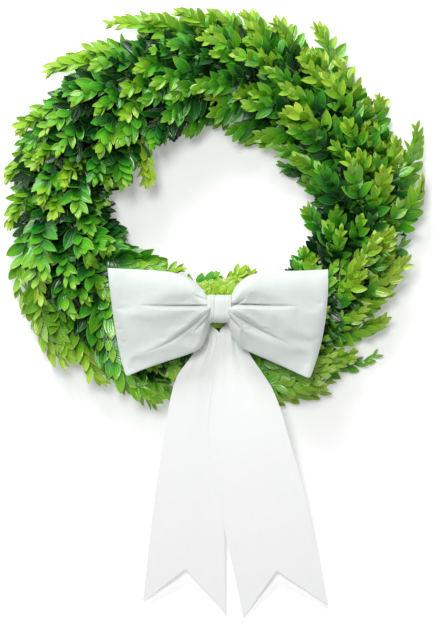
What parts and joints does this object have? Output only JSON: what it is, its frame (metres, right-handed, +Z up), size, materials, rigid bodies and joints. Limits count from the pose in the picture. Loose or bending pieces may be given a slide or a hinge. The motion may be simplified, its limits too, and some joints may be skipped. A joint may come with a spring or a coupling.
{
  "type": "boxwood wreath",
  "caption": "Artificial boxwood wreath with a white ribbon bow and swallowtail ends, bound to a ring of twisted canes, lying face up.",
  "frame": {"origin": "centre of the whole part's footprint, on the surface that it lies on", "axes": "+Z up out of the wreath's face, -Y from the bow's knot towards its tails, +X to the right as seen from the front"},
  "size_m": [0.4239, 0.6169, 0.0955],
  "materials": {
    "leaf": "moulded leaves with a soft gloss",
    "cane": "dry bark",
    "tape": "dull crepe tape",
    "cloth": "smooth white cloth with a faint sheen",
    "wire": "covered wire"
  },
  "bodies": {
    "root": {"bow_knot": "cloth", "bow_loops": "cloth", "bow_tail_left": "cloth", "bow_tail_right": "cloth", "bow_wire": "wire", "bunch_01": "leaf", "bunch_02": "leaf", "bunch_03": "leaf", "bunch_04": "leaf", "bunch_05": "leaf", "bunch_06": "leaf", "bunch_07": "leaf", "bunch_08": "leaf", "bunch_09": "leaf", "bunch_10": "leaf", "bunch_11": "leaf", "bunch_12": "leaf", "cane_1": "cane", "cane_2": "cane", "cane_3": "cane", "tape_band_01": "tape", "tape_band_02": "tape", "tape_band_03": "tape", "tape_band_04": "tape", "tape_band_05": "tape", "tape_band_06": "tape", "tape_band_07": "tape", "tape_band_08": "tape", "tape_band_09": "tape", "tape_band_10": "tape", "tape_band_11": "tape"}
  },
  "joints": []
}
